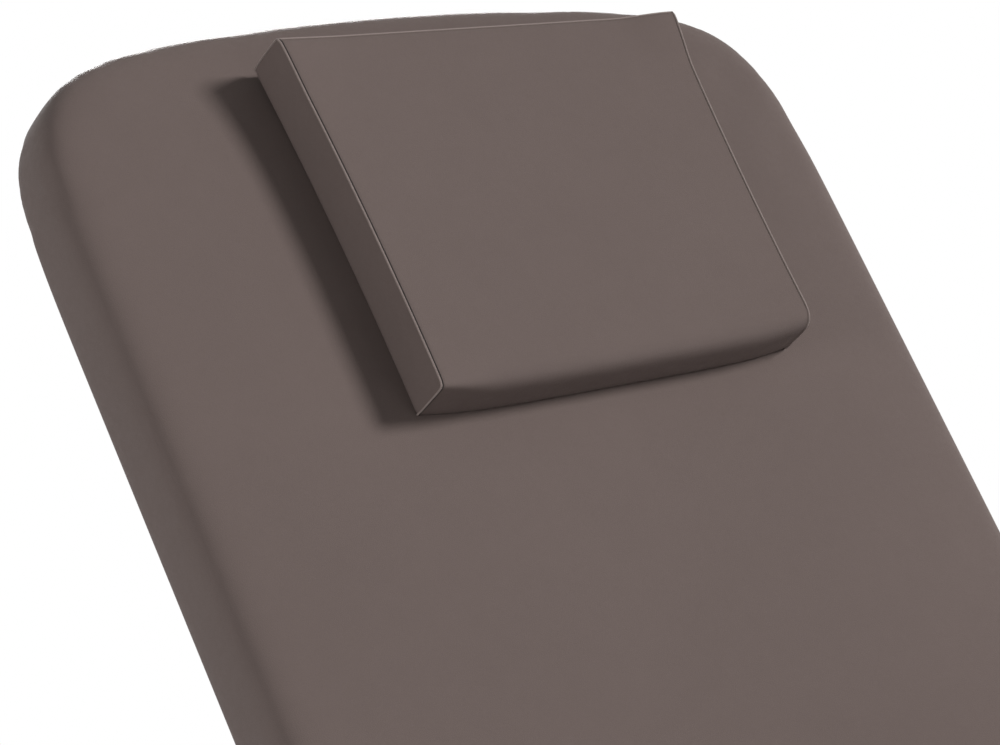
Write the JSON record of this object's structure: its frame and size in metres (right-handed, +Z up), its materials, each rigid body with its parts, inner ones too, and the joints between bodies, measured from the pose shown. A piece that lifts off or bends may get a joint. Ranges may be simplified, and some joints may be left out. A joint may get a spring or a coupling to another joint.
{
  "type": "electric treatment bed",
  "caption": "Padded treatment bed with a raised backrest, a level seat and leg rest, a loose head cushion, electric drives and a lifting column on a floor plate.",
  "frame": {"origin": "on the floor, under the middle of the whole bed", "axes": "+Z up, +Y towards the head end, +X to the right of someone lying on the bed"},
  "size_m": [0.64, 1.576, 1.2441],
  "materials": {
    "leather": "taupe-brown coated leather, soft sheen",
    "foam": "open-cell foam",
    "plywood": "raw plywood",
    "hook_tape": "hook-and-loop tape",
    "frame_paint": "light grey powder coat",
    "column_paint": "pale grey powder coat",
    "zinc": "zinc-plated steel",
    "rod_steel": "ground steel",
    "black_plastic": "fine-textured black plastic",
    "grey_plastic": "fine-textured grey plastic",
    "rubber": "black rubber"
  },
  "bodies": {
    "base": {"base_plate": "column_paint", "base_cover": "grey_plastic", "column_outer": "column_paint", "outer_glide_collar": "black_plastic", "lift_motor": "black_plastic", "lift_spindle": "rod_steel", "mains_inlet": "black_plastic", "pedal_housing": "grey_plastic", "pedal_shaft": "zinc", "foot_toe_left": "rubber", "foot_toe_right": "rubber", "foot_head_left": "rubber", "foot_head_right": "rubber"},
    "column_stage": {"column_middle": "column_paint", "middle_glide_collar": "black_plastic"},
    "seat_frame": {"column_inner": "column_paint", "column_head_plate": "column_paint", "lift_push_tube": "zinc", "seat_cover": "leather", "seat_foam": "foam", "seat_board": "plywood", "seat_rail_left": "frame_paint", "seat_rail_right": "frame_paint", "seat_bar_front": "frame_paint", "seat_bar_rear": "frame_paint", "control_unit": "black_plastic", "back_hinge_pin_left": "zinc", "back_hinge_pin_right": "zinc", "leg_hinge_pin_left": "zinc", "leg_hinge_pin_right": "zinc", "back_drive_rear_pin": "zinc", "leg_drive_rear_pin": "zinc"},
    "backrest": {"backrest_cover": "leather", "backrest_foam": "foam", "backrest_board": "plywood", "back_rail_left": "frame_paint", "back_rail_right": "frame_paint", "back_lever_bar": "frame_paint", "back_upper_bar": "frame_paint", "pad_loop_tape": "hook_tape"},
    "head_cushion": {"head_cushion_cover": "leather", "head_cushion_foam": "foam", "head_cushion_base": "plywood", "cushion_hook_tape": "hook_tape"},
    "legrest": {"legrest_cover": "leather", "legrest_foam": "foam", "legrest_board": "plywood", "leg_rail_left": "frame_paint", "leg_rail_right": "frame_paint", "leg_lever_bar": "frame_paint", "leg_outer_bar": "frame_paint"},
    "back_drive": {"back_drive_housing": "black_plastic"},
    "back_drive_rod": {"back_drive_rod": "rod_steel", "back_drive_rod_pin": "zinc"},
    "leg_drive": {"leg_drive_housing": "black_plastic"},
    "leg_drive_rod": {"leg_drive_rod": "rod_steel", "leg_drive_rod_pin": "zinc"},
    "lift_pedal": {"lift_pedal": "black_plastic"},
    "back_pedal": {"back_pedal": "black_plastic"},
    "leg_pedal": {"leg_pedal": "black_plastic"}
  },
  "joints": [
    {"name": "lift_lower", "type": "slide", "parent": "base", "child": "column_stage", "axis": [0, 0, 1], "range_m": [-0.045, 0.105]},
    {"name": "lift_upper", "type": "slide", "parent": "column_stage", "child": "seat_frame", "axis": [0, 0, 1], "range_m": [-0.045, 0.105]},
    {"name": "backrest_tilt", "type": "hinge", "parent": "seat_frame", "child": "backrest", "pos_m": [0, 0.23402, 0.6011], "axis": [1, 0, 0], "range_deg": [-50, 22]},
    {"name": "cushion_lift", "type": "slide", "parent": "backrest", "child": "head_cushion", "axis": [0, -0.766, 0.6428], "range_m": [0, 0.15]},
    {"name": "legrest_tilt", "type": "hinge", "parent": "seat_frame", "child": "legrest", "pos_m": [0, -0.28198, 0.5526], "axis": [1, 0, 0], "range_deg": [0, 60]},
    {"name": "back_drive_tilt", "type": "hinge", "parent": "seat_frame", "child": "back_drive", "pos_m": [0.185, -0.10398, 0.4891], "axis": [1, 0, 0], "range_deg": [-5, 2.3]},
    {"name": "back_drive_travel", "type": "slide", "parent": "back_drive", "child": "back_drive_rod", "axis": [0, 0.9878, 0.1559], "range_m": [-0.0625, 0.0276]},
    {"name": "leg_drive_tilt", "type": "hinge", "parent": "seat_frame", "child": "leg_drive", "pos_m": [-0.185, 0.05212, 0.4903], "axis": [1, 0, 0], "range_deg": [-0.1, 3.8]},
    {"name": "leg_drive_travel", "type": "slide", "parent": "leg_drive", "child": "leg_drive_rod", "axis": [0, -1, -0.0025], "range_m": [-0.0823, 0.0005]},
    {"name": "lift_pedal_tip", "type": "hinge", "parent": "base", "child": "lift_pedal", "pos_m": [-0.229, -0.02598, 0.0706], "axis": [0, 1, 0], "range_deg": [-8, 8], "stiffness_Nm_per_rad": 3},
    {"name": "back_pedal_tip", "type": "hinge", "parent": "base", "child": "back_pedal", "pos_m": [-0.229, 0.06802, 0.0706], "axis": [0, 1, 0], "range_deg": [-8, 8], "stiffness_Nm_per_rad": 3},
    {"name": "leg_pedal_tip", "type": "hinge", "parent": "base", "child": "leg_pedal", "pos_m": [-0.229, -0.11998, 0.0706], "axis": [0, 1, 0], "range_deg": [-8, 8], "stiffness_Nm_per_rad": 3}
  ],
  "couplings": [
    {"joint": "lift_upper", "follows": "lift_lower", "ratio": 1},
    {"joint": "back_drive_tilt", "follows": "backrest_tilt", "ratio": 0.0983},
    {"joint": "back_drive_travel", "follows": "backrest_tilt", "m_per_rad": 0.0715},
    {"joint": "leg_drive_tilt", "follows": "legrest_tilt", "ratio": 0.0622},
    {"joint": "leg_drive_travel", "follows": "legrest_tilt", "m_per_rad": -0.0784}
  ]
}
